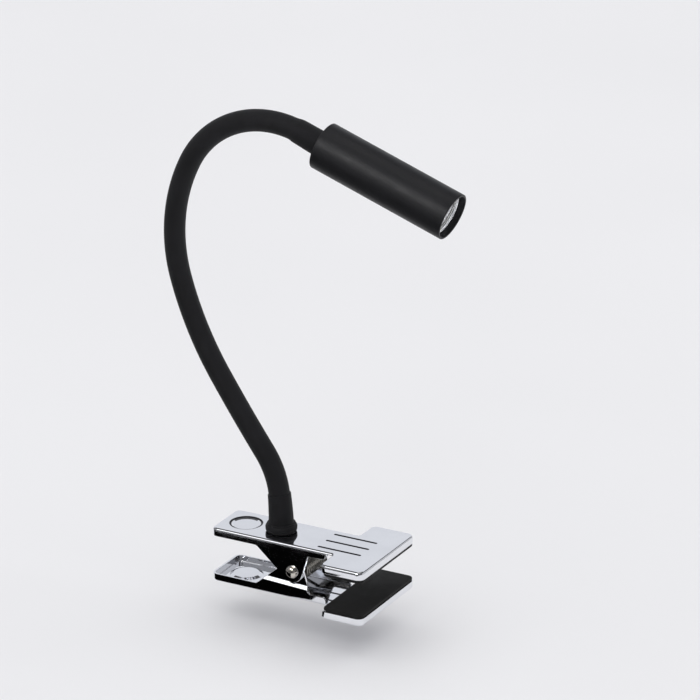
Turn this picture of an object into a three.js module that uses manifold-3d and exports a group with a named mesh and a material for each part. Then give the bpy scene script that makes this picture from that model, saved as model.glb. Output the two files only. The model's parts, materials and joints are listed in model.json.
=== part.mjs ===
// Clip-on reading lamp: a sprung table clamp of two folded plates, a flexible neck
// in a black sleeve, and a slim cylindrical LED head.
// Millimetres. The origin is the centre of the upper jaw pad's underside, where the
// clamp rests on a board. +X points the way the jaws open, +Z is up, and the whole
// lamp is symmetric about the XZ plane.
import * as THREE from "three";
import { mergeVertices } from "three/addons/utils/BufferGeometryUtils.js";
import Module from "manifold-3d";

const wasm = await Module();
wasm.setup();

// ---------------------------------------------------------------- driving dimensions

const GAP = 0.3; // air between neighbouring pieces

// Clamp plates: a narrow stem behind a wide jaw, folded down all round.
const SHEET = 1.2;
const PLATE_TOP = 6.6; // above the board
const STEM_HALF = 15;
const JAW_HALF = 31;
const STEM_REAR = -90.2;
const JAW_REAR = -13.2;
const JAW_FRONT = 13.2;
const CORNER = 4;
const NOTCH_CORNER = 1;
const FOLD = 1.6; // outside radius of the folded edge
const SKIRT = 4.6; // depth of the fold, from the plate's top
const SKIRT_STOP = 4.7; // the stem's skirts stop this far behind the jaw
const SLOT = { length: 26.7, width: 1.5, rear: -25.7, pitch: 9.3 };
const DIMPLE = { x: -76, radius: 9, depth: 1 };

// Ears and pivot.
const PIVOT = { x: -38.8, z: -9.35, pin: 2.5, hole: 2.8 };
const EAR_END = 6.2;
const EAR_REAR = -61.3; // where the ear's edges leave the skirt
const EAR_FRONT = -28.7;
const JOGGLE = { from: 7.7, to: 9.7, step: 1.6 }; // the lower ears step inwards here

const PAD = { lip: 1.8, inset: 0.5, plugInset: 1.6, plugTop: 5.1 };

const SPRING = { wire: 0.9, radius: 6.7, turns: 9.5, pitch: 2, legAngle: 19, leg: 21 };

// Neck: the centreline starts straight up through the upper plate and is a chain of
// arcs, each given by its length and the heading, from +X, that it ends on.
const NECK_X = -53.7;
const NECK_ARCS = [
  { length: 21, heading: 96 },
  { length: 26, heading: 126 },
  { length: 49, heading: 123 },
  { length: 58, heading: 106 },
  { length: 33, heading: 85 },
  { length: 36, heading: 63 },
  { length: 83, heading: -22 },
  { length: 12, heading: -19.4 },
];
const NECK_LENGTH = 318;
const FIRST_HINGE = 32; // along the centreline
const HINGE_PITCH = 37;
const SEGMENTS = 7; // between eight hinges
const SLEEVE = { outer: 5.95, bore: 4.3 };
const FLARE = { from: -19, to: -15.5, swell: 0.9, taper: 0.35 }; // over the ferrule
const SOCKET = SLEEVE.outer + 0.5;
const CORE = { outer: 3.9, bore: 2.1 };
const LEAD = { halfWidth: 1.6, radius: 0.8 };
const CORE_BELOW = 3.4; // the core starts inside the ball ...
const CORE_SHORT = 6.6; // ... and stops short of the next one

// Fittings at the foot of the neck, along the neck from the plate's top.
const STUD = { outer: 4.6, bore: 2.9, bottom: -9, top: 9, hole: 5 };
const COLLAR = { radius: 7.6, top: 4.7 };
const BOOT = { ring: 8.8, ringTop: 5.1, foot: 6.95, tip: 6.45, top: 22 };
const NUT = { flats: 14, top: -2.6, bottom: -6.6 };
const WASHER = { radius: 7.8, top: -1.5, bottom: -2.3 };
const BUSH = { shank: 2.6, bore: 1.9, flange: 4.4, top: -4, bottom: -12 };

// Head, along its own axis from its rear face.
const HEAD = { length: 82, radius: 13.2, wall: 1.2, rearWall: 2, chamfer: 0.4 };
const ENTRY = { outer: 4, bore: 2.7, from: -10, to: 8, hole: 4.3 };
const FERRULE = { outer: 5.3, from: -18 };
const HEAD_NUT = { flats: 13, from: 2.3, to: 6.3 };
const HEAT_SINK = { radius: 11.7, from: 35, to: 57.3, bore: 2.4 };
const BOARD = { radius: 11.4, from: 57.6, to: 59.2 };
const CHIP = { size: 3.5, from: 59.5, to: 60.4, dome: 1.5 };
const REFLECTOR = { rear: 2.9, mouth: 10.9, from: 60, to: 75.7, flange: 11.7, wall: 0.6 };
const LENS = { radius: 11.7, from: 76, to: 77 };
const RING = { outer: 11.7, bore: 11, from: 77.3, to: 78.4 };

// ---------------------------------------------------------------- materials

function finish(color, roughness, metalness) {
  return () => new THREE.MeshStandardMaterial({ color, roughness, metalness });
}
const chrome = finish(0xd8dadd, 0.08, 1);
const nickel = finish(0xc9c2b4, 0.22, 1);
const zincSteel = finish(0xa9abad, 0.35, 1);
const springSteel = finish(0xb9b3a6, 0.3, 1);
const brass = finish(0xc7a45a, 0.3, 1);
const blackSilicone = finish(0x17171a, 0.8, 0);
const blackRubber = finish(0x121213, 0.85, 0);
const blackMetal = finish(0x1c1c1f, 0.55, 0.3);
const aluminium = finish(0xbfc2c5, 0.4, 1);
const blackPlastic = finish(0x19191b, 0.5, 0);
const leadPlastic = finish(0x8c1c1a, 0.5, 0);
const boardWhite = finish(0xe9e9e4, 0.5, 0);
const ledYellow = finish(0xe8d25c, 0.35, 0);
const mirror = finish(0xe6e8ea, 0.05, 1);
const clear = finish(0xeef2f5, 0.05, 0);

// ---------------------------------------------------------------- solids

// A closed three.js geometry as a solid that can be joined and cut.
function solid(geometry) {
  const bare = geometry.index ? geometry.toNonIndexed() : geometry.clone();
  bare.deleteAttribute("normal");
  bare.deleteAttribute("uv");
  const merged = mergeVertices(bare, 1e-4);
  const vertProperties = merged.attributes.position.array;
  const triVerts = new Uint32Array(merged.index.array);
  return new wasm.Manifold(new wasm.Mesh({ numProp: 3, vertProperties, triVerts }));
}

function geometryOf(manifold) {
  const { vertProperties, triVerts } = manifold.getMesh();
  const geometry = new THREE.BufferGeometry();
  geometry.setAttribute("position", new THREE.BufferAttribute(vertProperties, 3));
  geometry.setIndex(new THREE.BufferAttribute(triVerts, 1));
  geometry.computeVertexNormals();
  return geometry;
}

function piece(name, geometry, material) {
  const mesh = new THREE.Mesh(geometry, material());
  mesh.name = name;
  return mesh;
}

function box(x0, x1, y0, y1, z0, z1) {
  const geometry = new THREE.BoxGeometry(x1 - x0, y1 - y0, z1 - z0);
  return solid(geometry.translate((x0 + x1) / 2, (y0 + y1) / 2, (z0 + z1) / 2));
}

// An upright cylinder.
function disc(x, radius, z0, z1, sides = 24) {
  const geometry = new THREE.CylinderGeometry(radius, radius, z1 - z0, sides);
  return solid(geometry.rotateX(Math.PI / 2).translate(x, 0, (z0 + z1) / 2));
}

// A body of revolution about +Z. The profile lists [radius, z] and is closed, either
// by both ends lying on the axis or by its last point being its first.
function turned(profile, sides) {
  const points = profile.map(([radius, z]) => new THREE.Vector2(radius, z));
  return new THREE.LatheGeometry(points, sides).rotateX(Math.PI / 2);
}

// A ring of rectangular section about +Z.
function tube(outer, bore, z0, z1, sides) {
  return turned([[bore, z0], [outer, z0], [outer, z1], [bore, z1], [bore, z0]], sides);
}

// A shape with its corners rounded. Each corner is [x, y, radius].
function roundedShape(corners) {
  const shape = new THREE.Shape();
  corners.forEach(([x, y, radius], i) => {
    const corner = new THREE.Vector2(x, y);
    const before = corners[(i + corners.length - 1) % corners.length];
    const after = corners[(i + 1) % corners.length];
    const start = new THREE.Vector2(before[0], before[1]).sub(corner).setLength(radius);
    const end = new THREE.Vector2(after[0], after[1]).sub(corner).setLength(radius);
    start.add(corner);
    end.add(corner);
    if (i === 0) shape.moveTo(start.x, start.y);
    else shape.lineTo(start.x, start.y);
    shape.quadraticCurveTo(x, y, end.x, end.y);
  });
  shape.closePath();
  return shape;
}

// Stands a shape drawn in X and Z up, and thickens it to y0..y1.
function uprightAcross(shape, y0, y1) {
  const geometry = new THREE.ExtrudeGeometry(shape, {
    depth: y1 - y0,
    bevelEnabled: false,
    curveSegments: 7,
  });
  return solid(geometry.rotateX(Math.PI / 2).translate(0, y1, 0));
}

// Stands a polygon drawn in Y and Z up, and stretches it over x0..x1.
function uprightAlong(points, x0, x1) {
  const shape = new THREE.Shape(points.map(([y, z]) => new THREE.Vector2(y, z)));
  const geometry = new THREE.ExtrudeGeometry(shape, { depth: x1 - x0, bevelEnabled: false });
  return solid(geometry.rotateX(Math.PI / 2).rotateZ(Math.PI / 2).translate(x0, 0, 0));
}

// ---------------------------------------------------------------- clamp plates

// The plate's outline from above, moved inwards by inset.
function plateShape(inset) {
  const stem = STEM_HALF - inset;
  const jaw = JAW_HALF - inset;
  const rear = STEM_REAR + inset;
  const notch = JAW_REAR + inset;
  const front = JAW_FRONT - inset;
  const convex = Math.max(CORNER - inset, 0.5);
  const concave = NOTCH_CORNER + inset;
  return roundedShape([
    [rear, -stem, convex],
    [notch, -stem, concave],
    [notch, -jaw, convex],
    [front, -jaw, convex],
    [front, jaw, convex],
    [notch, jaw, convex],
    [notch, stem, concave],
    [rear, stem, convex],
  ]);
}

// The tray that the sheet is folded into: its fold rounds the top edge.
function foldedTray() {
  const bottom = PLATE_TOP - SKIRT;
  const outside = new THREE.ExtrudeGeometry(plateShape(0), {
    depth: SKIRT,
    bevelThickness: FOLD,
    bevelSize: FOLD,
    bevelOffset: -FOLD,
    bevelSegments: 3,
    curveSegments: 4,
  }).translate(0, 0, PLATE_TOP - FOLD - SKIRT);
  const inside = new THREE.ExtrudeGeometry(plateShape(SHEET), {
    depth: SKIRT + FOLD,
    bevelEnabled: false,
    curveSegments: 3,
  }).translate(0, 0, PLATE_TOP - SHEET - SKIRT - FOLD);
  const tray = solid(outside).subtract(solid(inside));
  const reach = 2 * JAW_HALF;
  const above = box(STEM_REAR - 1, JAW_FRONT + 1, -reach, reach, bottom, PLATE_TOP + 1);
  const skirtless = box(
    JAW_REAR - SKIRT_STOP,
    JAW_REAR + SHEET + 0.1,
    -reach,
    reach,
    bottom - 1,
    PLATE_TOP - SHEET,
  );
  return tray.intersect(above).subtract(skirtless);
}

// The ear's outline: two straight edges that run from the skirt to a round end.
function earShape() {
  const skirtEdge = PLATE_TOP - SKIRT;
  const tangent = (x, side) => {
    const towards = new THREE.Vector2(x - PIVOT.x, skirtEdge - PIVOT.z);
    return towards.angle() + side * Math.acos(EAR_END / towards.length());
  };
  const shape = new THREE.Shape();
  shape.moveTo(EAR_FRONT, PLATE_TOP - SHEET);
  shape.lineTo(EAR_REAR, PLATE_TOP - SHEET);
  shape.lineTo(EAR_REAR, skirtEdge);
  shape.absarc(PIVOT.x, PIVOT.z, EAR_END, tangent(EAR_REAR, 1), tangent(EAR_FRONT, -1), false);
  shape.lineTo(EAR_FRONT, skirtEdge);
  shape.closePath();
  return shape;
}

// Plain ears continue the skirts straight down.
function plainEars() {
  const inner = STEM_HALF - SHEET;
  const hollow = box(EAR_REAR - 5, EAR_FRONT + 5, -inner, inner, PIVOT.z - 20, PLATE_TOP + 5);
  return uprightAcross(earShape(), -STEM_HALF, STEM_HALF).subtract(hollow);
}

// Nested ears step inwards below the skirts, to pass inside the other plate's ears.
function nestedEars() {
  const top = PLATE_TOP - SHEET;
  const bottom = PIVOT.z - 2 * EAR_END;
  const outer = STEM_HALF;
  const from = PLATE_TOP - JOGGLE.from;
  const to = PLATE_TOP - JOGGLE.to;
  const section = [
    [outer, top],
    [outer, from],
    [outer - JOGGLE.step, to],
    [outer - JOGGLE.step, bottom],
    [outer - JOGGLE.step - SHEET, bottom],
    [outer - JOGGLE.step - SHEET, to + 0.4],
    [outer - SHEET, from + 0.4],
    [outer - SHEET, top],
  ];
  const mirrored = section.map(([y, z]) => [-y, z]).reverse();
  const walls = uprightAlong(section, EAR_REAR - 1, EAR_FRONT + 1).add(
    uprightAlong(mirrored, EAR_REAR - 1, EAR_FRONT + 1),
  );
  return walls.intersect(uprightAcross(earShape(), -STEM_HALF, STEM_HALF));
}

function pivotHole() {
  const geometry = new THREE.CylinderGeometry(PIVOT.hole, PIVOT.hole, 4 * STEM_HALF, 24);
  return solid(geometry.translate(PIVOT.x, 0, PIVOT.z));
}

function grooves() {
  let cuts;
  for (const row of [-1, 0, 1]) {
    const half = SLOT.width / 2;
    const y = row * SLOT.pitch;
    const front = SLOT.rear + SLOT.length;
    const shape = roundedShape([
      [SLOT.rear, y - half, half * 0.9],
      [front, y - half, half * 0.9],
      [front, y + half, half * 0.9],
      [SLOT.rear, y + half, half * 0.9],
    ]);
    const cut = solid(
      new THREE.ExtrudeGeometry(shape, {
        depth: 4 * SHEET,
        bevelEnabled: false,
        curveSegments: 2,
      }).translate(0, 0, PLATE_TOP - 2 * SHEET),
    );
    cuts = cuts ? cuts.add(cut) : cut;
  }
  return cuts;
}

function clampPlate(ears) {
  const floor = PLATE_TOP - DIMPLE.depth;
  const bulge = disc(DIMPLE.x, DIMPLE.radius + SHEET, floor - SHEET, PLATE_TOP - SHEET / 2);
  const recess = disc(DIMPLE.x, DIMPLE.radius, floor, PLATE_TOP + 1);
  return foldedTray().add(ears).add(bulge).subtract(recess).subtract(grooves());
}

// Rubber pad: a plug inside the jaw's fold, and a lip that shows below it.
function jawPad() {
  const slab = (inset, z0, z1) => {
    const rear = JAW_REAR + SHEET + inset;
    const front = JAW_FRONT - inset;
    const half = JAW_HALF - inset;
    const shape = roundedShape([
      [rear, -half, 2.5],
      [front, -half, 2.5],
      [front, half, 2.5],
      [rear, half, 2.5],
    ]);
    const depth = z1 - z0;
    const options = { depth, bevelEnabled: false, curveSegments: 3 };
    return solid(new THREE.ExtrudeGeometry(shape, options).translate(0, 0, z0));
  };
  const lip = slab(PAD.inset, 0, PAD.lip);
  return lip.add(slab(PAD.plugInset, PAD.lip - 0.5, PAD.plugTop));
}

// The lower jaw is the upper one turned over about the pivot.
function turnedOver(group) {
  group.rotation.x = Math.PI;
  group.position.z = 2 * PIVOT.z;
  return group;
}

function clamp() {
  const upper = new THREE.Group();
  const studHole = disc(NECK_X, STUD.hole, 0, 2 * PLATE_TOP);
  const upperPlate = clampPlate(plainEars()).subtract(pivotHole()).subtract(studHole);
  upper.add(piece("upper_plate", geometryOf(upperPlate), chrome));
  upper.add(piece("upper_pad", geometryOf(jawPad()), blackRubber));
  const lower = new THREE.Group();
  const lowerPlate = clampPlate(nestedEars()).subtract(pivotHole());
  lower.add(piece("lower_plate", geometryOf(lowerPlate), chrome));
  lower.add(piece("lower_pad", geometryOf(jawPad()), blackRubber));
  return [upper, turnedOver(lower)];
}

// The pin's own axis is +Z here; pivotAssembly() lays it along -Y.
function pivotAssembly() {
  const domeRadius = 3.5;
  const domeHeight = 2.3;
  const seat = STEM_HALF + GAP;
  const sides = 20;
  const dome = (z0, steps) =>
    Array.from({ length: steps + 1 }, (_, i) => {
      const angle = (i / steps) * (Math.PI / 2);
      return [domeRadius * Math.cos(angle), z0 + domeHeight * Math.sin(angle)];
    });
  const socket = 0.9; // how deep the pin's far end sits in the cap
  const far = -(seat + socket - GAP);
  const pin = [[0, far], [PIVOT.pin, far], [PIVOT.pin, seat], ...dome(seat, 4)];
  pin[pin.length - 1][0] = 0;
  const cap = [
    [0, socket],
    [PIVOT.pin + GAP, socket],
    [PIVOT.pin + GAP, 0],
    ...dome(0, 4),
  ];
  cap[cap.length - 1][0] = 0;
  const group = new THREE.Group();
  group.add(piece("pivot_pin", turned(pin, sides), nickel));
  const capMesh = piece("pivot_cap", turned(cap, sides), nickel);
  capMesh.rotation.x = Math.PI;
  capMesh.position.z = -seat;
  group.add(capMesh);
  group.rotation.x = Math.PI / 2;
  group.position.set(PIVOT.x, 0, PIVOT.z);
  return group;
}

// Torsion spring about the pivot: a close coil with one leg back under the upper
// plate and one back over the lower plate.
function torsionSpring() {
  const { radius, turns, pitch, legAngle, leg } = SPRING;
  const tilt = THREE.MathUtils.degToRad(legAngle);
  const start = Math.PI / 2 - tilt;
  const sweep = turns * 2 * Math.PI - 2 * (Math.PI / 2 - start);
  const stepsPerTurn = 12;
  const steps = Math.round(turns * stepsPerTurn);
  const half = (turns * pitch) / 2;
  const points = [];
  for (let i = 0; i <= steps; i++) {
    const angle = start - (i / steps) * sweep;
    const y = -half + (i / steps) * 2 * half;
    points.push(new THREE.Vector3(radius * Math.cos(angle), y, radius * Math.sin(angle)));
  }
  const legPoint = (end, up, along) =>
    end.clone().add(new THREE.Vector3(-Math.cos(tilt), 0, up * Math.sin(tilt)).multiplyScalar(along));
  const first = points[0];
  const last = points[points.length - 1];
  points.unshift(legPoint(first, 1, leg), legPoint(first, 1, leg / 2));
  points.push(legPoint(last, -1, leg / 2), legPoint(last, -1, leg));
  const route = new THREE.CatmullRomCurve3(points, false, "centripetal");
  const section = new THREE.Shape();
  section.absarc(0, 0, SPRING.wire, 0, 2 * Math.PI, false);
  const geometry = new THREE.ExtrudeGeometry(section, {
    extrudePath: route,
    steps: steps + 8,
    curveSegments: 3,
    bevelEnabled: false,
  });
  const mesh = piece("torsion_spring", geometry, springSteel);
  mesh.position.set(PIVOT.x, 0, PIVOT.z);
  return mesh;
}

// ---------------------------------------------------------------- neck

// Where the neck's centreline is at a distance along it, and its heading there.
// It runs on straight beyond both ends.
function neckAt(distance) {
  let x = NECK_X;
  let z = PLATE_TOP;
  let heading = Math.PI / 2;
  let left = distance;
  for (const arc of NECK_ARCS) {
    if (left <= 0) break;
    const turn = THREE.MathUtils.degToRad(arc.heading) - heading;
    const part = Math.min(left, arc.length);
    const next = heading + (turn * part) / arc.length;
    const radius = arc.length / turn;
    x += radius * (Math.sin(next) - Math.sin(heading));
    z -= radius * (Math.cos(next) - Math.cos(heading));
    heading = next;
    left -= part;
  }
  const beyond = distance < 0 ? distance : left;
  return { x: x + beyond * Math.cos(heading), z: z + beyond * Math.sin(heading), heading };
}

// Bends a geometry made straight about +Z so that it follows the neck.
function onNeck(geometry) {
  const position = geometry.attributes.position;
  for (let i = 0; i < position.count; i++) {
    const side = position.getX(i);
    const { x, z, heading } = neckAt(position.getZ(i));
    const px = x + side * Math.sin(heading);
    position.setXYZ(i, px, position.getY(i), z - side * Math.cos(heading));
  }
  geometry.computeVertexNormals();
  return geometry;
}

// Points along a straight wall, so that the wall can be bent.
function wall(radius, z0, z1, pitch = 9) {
  const steps = Math.max(1, Math.round(Math.abs(z1 - z0) / pitch));
  return Array.from({ length: steps + 1 }, (_, i) => [radius, z0 + ((z1 - z0) * i) / steps]);
}

// An arc of a ball about [0, centre], from one radius out to another, on its lower side.
function ballArc(centre, ball, from, to, steps) {
  return Array.from({ length: steps + 1 }, (_, i) => {
    const start = Math.asin(Math.min(1, from / ball));
    const end = Math.asin(Math.min(1, to / ball));
    const angle = start + ((end - start) * i) / steps;
    return [ball * Math.sin(angle), centre - ball * Math.cos(angle)];
  });
}

const hingeAt = (i) => FIRST_HINGE + i * HINGE_PITCH;

// A length of sleeve. Its lower end is a ball about the hinge below it and its upper
// end is a socket round the next hinge, so that the lengths can tilt on each other.
function sleeveProfile(z0, z1, hasBall, hasSocket) {
  const { outer, bore } = SLEEVE;
  const foot = hasBall ? ballArc(z0, outer, bore, outer, 3) : [[bore, z0], [outer, z0]];
  const head = hasSocket ? ballArc(z1, SOCKET, outer, bore, 2) : [[outer, z1], [bore, z1]];
  const outside = wall(outer, z0, head[0][1]).slice(1, -1);
  const inside = wall(bore, head[head.length - 1][1], foot[0][1]).slice(1, -1);
  return [...foot, ...outside, ...head, ...inside, foot[0]];
}

function topSleeveProfile(z0) {
  const { outer, bore } = SLEEVE;
  const end = NECK_LENGTH - GAP;
  const flareFrom = NECK_LENGTH + FLARE.from;
  const flareTo = NECK_LENGTH + FLARE.to;
  const socketFrom = NECK_LENGTH - 18.4;
  const foot = ballArc(z0, outer, bore, outer, 3);
  return [
    ...foot,
    ...wall(outer, z0, flareFrom, 5).slice(1),
    [outer + FLARE.swell, flareTo],
    [outer + FLARE.swell + FLARE.taper / 2, (flareTo + end) / 2],
    [outer + FLARE.swell + FLARE.taper, end],
    ...wall(FERRULE.outer + GAP, end, socketFrom, 5),
    ...wall(bore, socketFrom, foot[0][1], 5),
  ];
}

function bentTube(outer, bore, z0, z1, sides) {
  const profile = [...wall(outer, z0, z1), ...wall(bore, z1, z0), [outer, z0]];
  return onNeck(turned(profile, sides));
}

// Flat twin lead: two round wires side by side, with the web between them filled in.
function bentLead(z0, z1) {
  const reach = LEAD.halfWidth - LEAD.radius;
  const shape = new THREE.Shape();
  shape.absarc(reach, 0, LEAD.radius, -Math.PI / 2, Math.PI / 2, false);
  shape.absarc(-reach, 0, LEAD.radius, Math.PI / 2, (3 * Math.PI) / 2, false);
  shape.closePath();
  const depth = z1 - z0;
  const steps = Math.max(1, Math.round(depth / 9));
  const options = { depth, steps, curveSegments: 2, bevelEnabled: false };
  return onNeck(new THREE.ExtrudeGeometry(shape, options).translate(0, 0, z0));
}

function neckLength(label, [coreFrom, coreTo], [leadFrom, leadTo], profile) {
  const group = new THREE.Group();
  group.add(piece("sleeve_" + label, onNeck(turned(profile, 16)), blackSilicone));
  const core = bentTube(CORE.outer, CORE.bore, coreFrom, coreTo, 12);
  group.add(piece("core_" + label, core, zincSteel));
  group.add(piece("lead_" + label, bentLead(leadFrom, leadTo), leadPlastic));
  return group;
}

function neck() {
  const group = new THREE.Group();
  const stop = FIRST_HINGE - CORE_SHORT;
  const foot = sleeveProfile(BOOT.top + GAP, FIRST_HINGE, false, true);
  group.add(neckLength("base", [STUD.top + GAP, stop], [BUSH.bottom, stop], foot));
  for (let i = 0; i < SEGMENTS; i++) {
    const z0 = hingeAt(i);
    const z1 = hingeAt(i + 1);
    const span = [z0 - CORE_BELOW, z1 - CORE_SHORT];
    group.add(neckLength(String(i + 1), span, span, sleeveProfile(z0, z1, true, true)));
  }
  const last = hingeAt(SEGMENTS);
  const from = last - CORE_BELOW;
  const coreTo = NECK_LENGTH + ENTRY.from - GAP;
  const leadTo = NECK_LENGTH + BOARD.from - GAP;
  group.add(neckLength("top", [from, coreTo], [from, leadTo], topSleeveProfile(last)));
  return group;
}

// ---------------------------------------------------------------- foot of the neck

function hexNut(flats, bore, z0, z1) {
  const corner = flats / Math.sqrt(3);
  const hex = new THREE.CylinderGeometry(corner, corner, z1 - z0, 6);
  hex.rotateX(Math.PI / 2).rotateZ(Math.PI / 2).translate(0, 0, (z0 + z1) / 2);
  return geometryOf(solid(hex).subtract(disc(0, bore, z0 - 1, z1 + 1, 20)));
}

function foot() {
  const group = new THREE.Group();
  const sides = 20;
  const stud = tube(STUD.outer, STUD.bore, STUD.bottom, STUD.top, sides);
  const collar = tube(COLLAR.radius, STUD.outer + GAP, GAP, COLLAR.top, sides);
  const washer = tube(WASHER.radius, STUD.outer + GAP, WASHER.bottom, WASHER.top, sides);
  const nut = hexNut(NUT.flats, STUD.outer + GAP, NUT.bottom, NUT.top);
  const under = STUD.bottom - GAP;
  const bush = turned(
    [
      [BUSH.bore, BUSH.bottom],
      [BUSH.flange - 0.8, BUSH.bottom],
      [BUSH.flange, BUSH.bottom + 0.8],
      [BUSH.flange, under],
      [BUSH.shank, under],
      [BUSH.shank, BUSH.top],
      [BUSH.bore, BUSH.top],
      [BUSH.bore, BUSH.bottom],
    ],
    20,
  );
  group.add(piece("mounting_stud", stud, brass));
  group.add(piece("collar_nut", collar, zincSteel));
  group.add(piece("lock_washer", washer, zincSteel));
  group.add(piece("hex_nut", nut, zincSteel));
  group.add(piece("cable_bush", bush, blackPlastic));
  group.position.set(NECK_X, 0, PLATE_TOP);

  // The boot bends with the first millimetres of the neck.
  const ceiling = COLLAR.top + GAP;
  const boot = [
    [COLLAR.radius + GAP, GAP],
    [BOOT.ring - 0.7, GAP],
    [BOOT.ring, GAP + 1],
    [BOOT.ring, BOOT.ringTop - 1.4],
    [BOOT.ring - 0.6, BOOT.ringTop - 0.4],
    [BOOT.foot, BOOT.ringTop + 0.9],
    ...wall((BOOT.foot + BOOT.tip) / 2, BOOT.ringTop + 5, BOOT.top - 5),
    [BOOT.tip, BOOT.top],
    ...wall(SLEEVE.bore, BOOT.top, STUD.top + GAP),
    [STUD.outer + 2 * GAP, STUD.top + GAP],
    [STUD.outer + 2 * GAP, ceiling],
    [COLLAR.radius + GAP, ceiling],
    [COLLAR.radius + GAP, GAP],
  ];
  return [group, piece("neck_boot", onNeck(turned(boot, sides)), blackRubber)];
}

// ---------------------------------------------------------------- head

function housing() {
  const { length, radius, rearWall, chamfer } = HEAD;
  const bore = radius - HEAD.wall;
  return turned(
    [
      [ENTRY.hole, 0],
      [radius - chamfer, 0],
      [radius, chamfer],
      [radius, length - chamfer],
      [radius - chamfer, length],
      [bore + 0.3, length],
      [bore, length - 0.3],
      [bore, rearWall],
      [ENTRY.hole, rearWall],
      [ENTRY.hole, 0],
    ],
    32,
  );
}

// A bowl that opens towards the mouth as a parabola, with a flat flange.
function reflector() {
  const { rear, mouth, from, to, flange } = REFLECTOR;
  const steps = 4;
  const bowl = (grow, z1) =>
    Array.from({ length: steps + 1 }, (_, i) => {
      const rise = (i / steps) ** 2;
      const radius = rear + (mouth - rear) * Math.sqrt(rise) ** 0.8;
      return [radius + grow, from + (z1 - from) * rise];
    });
  const inside = bowl(0, to).reverse();
  const back = to - REFLECTOR.wall;
  const outside = bowl(REFLECTOR.wall, back);
  return turned([...outside, [flange, back], [flange, to], ...inside, outside[0]], 24);
}

function ledChip() {
  const { size, from, to, dome } = CHIP;
  const base = box(-size / 2, size / 2, -size / 2, size / 2, from, to);
  const cap = new THREE.SphereGeometry(dome, 10, 6).scale(1, 1, 0.7).translate(0, 0, to - 0.05);
  return geometryOf(base.add(solid(cap)));
}

function head() {
  const group = new THREE.Group();
  const sides = 24;
  const sink = tube(HEAT_SINK.radius, HEAT_SINK.bore, HEAT_SINK.from, HEAT_SINK.to, sides);
  const board = turned(
    [[0, BOARD.from], [BOARD.radius, BOARD.from], [BOARD.radius, BOARD.to], [0, BOARD.to]],
    sides,
  );
  const lens = turned(
    [[0, LENS.from], [LENS.radius, LENS.from], [LENS.radius, LENS.to], [0, LENS.to]],
    sides,
  );
  const ring = tube(RING.outer, RING.bore, RING.from, RING.to, sides);
  const entry = tube(ENTRY.outer, ENTRY.bore, ENTRY.from, ENTRY.to, 20);
  const nut = hexNut(HEAD_NUT.flats, ENTRY.hole, HEAD_NUT.from, HEAD_NUT.to);
  group.add(piece("head_housing", housing(), blackMetal));
  group.add(piece("head_entry_tube", entry, brass));
  group.add(piece("head_nut", nut, zincSteel));
  group.add(piece("heat_sink", sink, aluminium));
  group.add(piece("led_board", board, boardWhite));
  group.add(piece("led_chip", ledChip(), ledYellow));
  group.add(piece("reflector", reflector(), mirror));
  group.add(piece("lens", lens, clear));
  group.add(piece("retaining_ring", ring, aluminium));
  const { x, z, heading } = neckAt(NECK_LENGTH);
  group.position.set(x, 0, z);
  group.rotation.y = Math.PI / 2 - heading;
  const from = NECK_LENGTH + FERRULE.from;
  const ferrule = bentTube(FERRULE.outer, ENTRY.hole, from, NECK_LENGTH - GAP, 20);
  return [group, piece("end_ferrule", ferrule, brass)];
}

// ---------------------------------------------------------------- lamp

const lamp = new THREE.Group();
lamp.add(...clamp(), pivotAssembly(), torsionSpring(), ...foot(), neck(), ...head());

export default lamp;
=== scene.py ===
import json
import math

import bmesh
import bpy
from mathutils import Matrix, Vector


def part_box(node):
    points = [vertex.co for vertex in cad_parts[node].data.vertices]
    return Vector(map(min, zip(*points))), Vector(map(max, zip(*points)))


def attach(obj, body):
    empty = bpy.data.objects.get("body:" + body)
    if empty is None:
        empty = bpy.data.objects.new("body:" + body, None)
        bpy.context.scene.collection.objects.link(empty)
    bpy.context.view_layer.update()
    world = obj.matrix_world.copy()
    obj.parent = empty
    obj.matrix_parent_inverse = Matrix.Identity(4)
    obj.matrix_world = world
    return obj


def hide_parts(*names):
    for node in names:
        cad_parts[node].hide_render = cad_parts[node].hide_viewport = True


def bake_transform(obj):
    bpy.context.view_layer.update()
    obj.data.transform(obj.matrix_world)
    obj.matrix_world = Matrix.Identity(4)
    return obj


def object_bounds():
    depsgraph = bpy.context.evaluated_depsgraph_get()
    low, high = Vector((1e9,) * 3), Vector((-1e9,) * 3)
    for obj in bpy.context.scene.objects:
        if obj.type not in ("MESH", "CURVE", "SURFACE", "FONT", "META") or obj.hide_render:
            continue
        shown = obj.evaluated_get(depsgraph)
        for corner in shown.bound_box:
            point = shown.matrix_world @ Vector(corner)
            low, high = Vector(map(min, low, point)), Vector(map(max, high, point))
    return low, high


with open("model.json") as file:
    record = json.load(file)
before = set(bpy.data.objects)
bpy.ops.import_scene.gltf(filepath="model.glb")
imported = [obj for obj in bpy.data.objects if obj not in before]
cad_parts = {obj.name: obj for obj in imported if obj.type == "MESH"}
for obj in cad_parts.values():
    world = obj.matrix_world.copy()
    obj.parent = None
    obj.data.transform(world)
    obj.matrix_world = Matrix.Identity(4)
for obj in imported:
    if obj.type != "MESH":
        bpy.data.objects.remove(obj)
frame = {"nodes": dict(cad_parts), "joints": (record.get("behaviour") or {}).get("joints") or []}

CAD_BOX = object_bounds()
MM = 0.001
TAU = 2 * math.pi
CREASE = math.radians(32)  # edges that bend more than this are drawn sharp

# Clip-on reading lamp. Lengths below are in millimetres, in the CAD model's frame,
# and mm_box() and the joints give every place.


def mm_box(node):
    low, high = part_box(node)
    return Vector(low) / MM, Vector(high) / MM


JOINTS = {joint["name"]: joint for joint in frame["joints"]}
PIVOT = Vector(JOINTS["jaw_pivot"]["pos_m"]) / MM

# ------------------------------------------------------------------ sizes

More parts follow.
